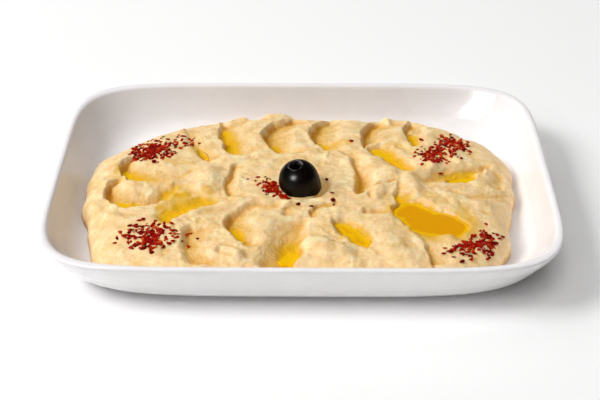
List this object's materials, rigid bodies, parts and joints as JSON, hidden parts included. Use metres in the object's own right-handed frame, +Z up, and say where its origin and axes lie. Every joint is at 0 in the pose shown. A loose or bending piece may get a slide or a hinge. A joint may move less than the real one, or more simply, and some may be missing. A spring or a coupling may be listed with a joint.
{
  "type": "hummus in a dish",
  "caption": "Serving of smooth chickpea dip spooned into a low rectangular white dish, with a pitted black olive, chilli flakes and small pools of oil.",
  "frame": {"origin": "centre of the dish's outline, on the table it stands on", "axes": "+X along the dish's long side, to the viewer's right; +Y away from the viewer; +Z up"},
  "size_m": [0.24, 0.17, 0.0334],
  "materials": {
    "porcelain": "glazed white, smooth",
    "hummus": "creamy, fine grained, soft sheen",
    "olive": "smooth, satin skin",
    "oil": "clear golden liquid, wet"
  },
  "bodies": {
    "root": {"dish": "porcelain", "hummus": "hummus", "olive": "olive", "oil_left_film": "oil", "oil_back_1": "oil", "oil_back_2": "oil", "oil_back_3": "oil", "oil_back_4": "oil", "oil_back_5": "oil", "oil_right_tongue": "oil", "oil_left_1": "oil", "oil_left_2": "oil", "oil_pool": "oil", "oil_right": "oil", "oil_front_1": "oil", "oil_front_2": "oil", "oil_front_3": "oil"}
  },
  "joints": []
}
